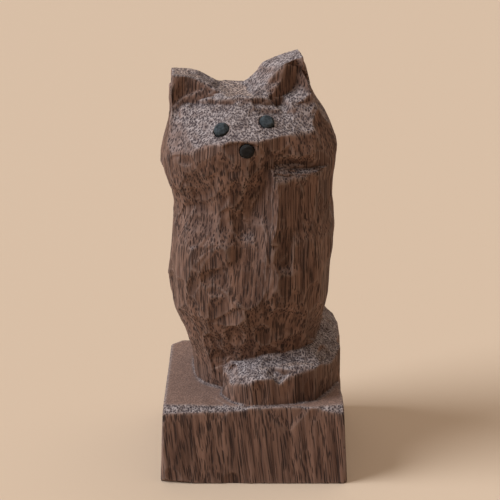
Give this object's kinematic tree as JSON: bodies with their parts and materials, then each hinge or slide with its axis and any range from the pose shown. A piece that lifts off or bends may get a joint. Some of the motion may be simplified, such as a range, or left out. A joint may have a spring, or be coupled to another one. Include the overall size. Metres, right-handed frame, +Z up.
{
  "type": "carved cat figurine",
  "caption": "Hand-whittled wooden cat sitting upright on a square plinth, tail wrapped to the front, with peg eyes and nose.",
  "frame": {"origin": "centre of the plinth's underside", "axes": "+Z up, from the plinth to the ears; the cat looks towards -Y; +X is the cat's left"},
  "size_m": [0.0286, 0.0286, 0.0644],
  "materials": {
    "walnut": "bare knife-cut wood, matt",
    "eye_peg": "stained blue-grey, matt",
    "nose_peg": "stained black, matt"
  },
  "bodies": {
    "root": {"carved_cat": "walnut", "left_eye_peg": "eye_peg", "right_eye_peg": "eye_peg", "nose_peg": "nose_peg"}
  },
  "joints": []
}
